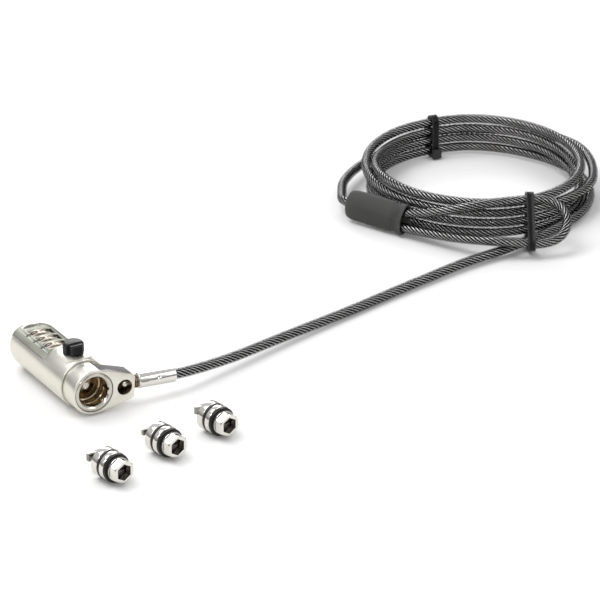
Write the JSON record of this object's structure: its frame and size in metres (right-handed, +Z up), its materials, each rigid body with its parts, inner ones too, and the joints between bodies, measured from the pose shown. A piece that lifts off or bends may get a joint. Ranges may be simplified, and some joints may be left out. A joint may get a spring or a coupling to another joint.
{
  "type": "laptop cable lock",
  "caption": "Four-dial combination laptop lock on a swivelling arm, with a coiled vinyl-coated steel cable, eye loop and interchangeable slot tips.",
  "frame": {"origin": "centre of the nose bore's mouth, on the barrel's axis", "axes": "-Y out of the nose, +Y along the barrel to its rear, +X towards the cable arm, +Z up; the floor it lies on is at z = -10.3 mm"},
  "size_m": [0.3413, 0.2411, 0.0258],
  "materials": {
    "satin_nickel": "satin nickel plating",
    "panel": "satin grey-green",
    "chrome": "polished",
    "steel": "bright",
    "brass": "machined",
    "dial": "satin with black numerals",
    "black_plastic": "satin moulded",
    "dark_washer": "dark",
    "rope": "twisted wire",
    "vinyl": "clear smoke vinyl",
    "sleeve_plastic": "matt rubbery",
    "seal_rubber": "black"
  },
  "bodies": {
    "cable": {"swivel_stud": "steel", "swivel_washer": "dark_washer", "cable_ferrule": "chrome", "wire_rope": "rope", "vinyl_jacket": "vinyl", "loop_crimp": "steel", "loop_sleeve": "sleeve_plastic", "cable_tie_rear": "black_plastic", "cable_tie_front": "black_plastic"},
    "collar": {"swivel_collar": "satin_nickel"},
    "barrel": {"nose_sleeve": "chrome", "sleeve_pins": "steel", "barrel_body": "satin_nickel", "window_plate": "panel", "rear_cap": "satin_nickel", "detent_spring": "steel"},
    "slide": {"slide_carriage": "steel", "slide_button": "black_plastic", "spindle": "steel", "spindle_spring": "steel"},
    "bolt": {"locking_bolt": "steel"},
    "reset": {"reset_screw": "steel"},
    "dial_1": {"number_dial_1": "dial", "clutch_ring_1": "brass"},
    "dial_2": {"number_dial_2": "dial", "clutch_ring_2": "brass"},
    "dial_3": {"number_dial_3": "dial", "clutch_ring_3": "brass"},
    "dial_4": {"number_dial_4": "dial", "clutch_ring_4": "brass"},
    "kslot_tip": {"kslot_tip_body": "chrome", "kslot_tip_front_ring": "seal_rubber", "kslot_tip_rear_ring": "seal_rubber"},
    "kslot_driver": {"kslot_tip_bolt": "steel"},
    "nano_tip": {"nano_tip_body": "chrome", "nano_tip_front_ring": "seal_rubber", "nano_tip_rear_ring": "seal_rubber"},
    "nano_driver": {"nano_tip_bolt": "steel"},
    "wedge_tip": {"wedge_tip_body": "chrome", "wedge_tip_front_ring": "seal_rubber", "wedge_tip_rear_ring": "seal_rubber"},
    "wedge_driver": {"wedge_tip_bolt": "steel"}
  },
  "joints": [
    {"name": "cable_swivel", "type": "hinge", "parent": "cable", "child": "collar", "pos_m": [0, 0.00375, 0], "axis": [0.9981, 0, -0.061], "range_deg": [-150, 150]},
    {"name": "barrel_swivel", "type": "hinge", "parent": "collar", "child": "barrel", "pos_m": [0, 0, 0], "axis": [0, 1, 0], "continuous": true},
    {"name": "dial_1_turn", "type": "hinge", "parent": "barrel", "child": "dial_1", "pos_m": [0, 0.0294, 0], "axis": [0, 1, 0], "continuous": true},
    {"name": "dial_2_turn", "type": "hinge", "parent": "barrel", "child": "dial_2", "pos_m": [0, 0.036, 0], "axis": [0, 1, 0], "continuous": true},
    {"name": "dial_3_turn", "type": "hinge", "parent": "barrel", "child": "dial_3", "pos_m": [0, 0.0426, 0], "axis": [0, 1, 0], "continuous": true},
    {"name": "dial_4_turn", "type": "hinge", "parent": "barrel", "child": "dial_4", "pos_m": [0, 0.0492, 0], "axis": [0, 1, 0], "continuous": true},
    {"name": "button_slide", "type": "slide", "parent": "barrel", "child": "slide", "axis": [0, -1, 0], "range_m": [0, 0.0035]},
    {"name": "bolt_drop", "type": "slide", "parent": "barrel", "child": "bolt", "axis": [0, 0, -1], "range_m": [0, 0.0012]},
    {"name": "reset_turn", "type": "hinge", "parent": "barrel", "child": "reset", "pos_m": [0, 0.0578, 0], "axis": [0, 1, 0], "range_deg": [0, 90]},
    {"name": "kslot_tip_slide", "type": "slide", "parent": "cable", "child": "kslot_tip", "axis": [0.165, -0.9863, 0], "range_m": [0, 0.04]},
    {"name": "kslot_bolt_turn", "type": "hinge", "parent": "kslot_tip", "child": "kslot_driver", "pos_m": [-0.0196, -0.0544, -0.00415], "axis": [0.165, -0.9863, 0], "range_deg": [0, 90]},
    {"name": "nano_tip_slide", "type": "slide", "parent": "cable", "child": "nano_tip", "axis": [0.165, -0.9863, 0], "range_m": [0, 0.04]},
    {"name": "nano_bolt_turn", "type": "hinge", "parent": "nano_tip", "child": "nano_driver", "pos_m": [0.0084, -0.0454, -0.00415], "axis": [0.165, -0.9863, 0], "range_deg": [0, 90]},
    {"name": "wedge_tip_slide", "type": "slide", "parent": "cable", "child": "wedge_tip", "axis": [0.165, -0.9863, 0], "range_m": [0, 0.04]},
    {"name": "wedge_bolt_turn", "type": "hinge", "parent": "wedge_tip", "child": "wedge_driver", "pos_m": [0.0349, -0.0389, -0.00415], "axis": [0.165, -0.9863, 0], "range_deg": [0, 90]}
  ],
  "couplings": [
    {"joint": "bolt_drop", "follows": "button_slide", "ratio": 0.34286}
  ]
}
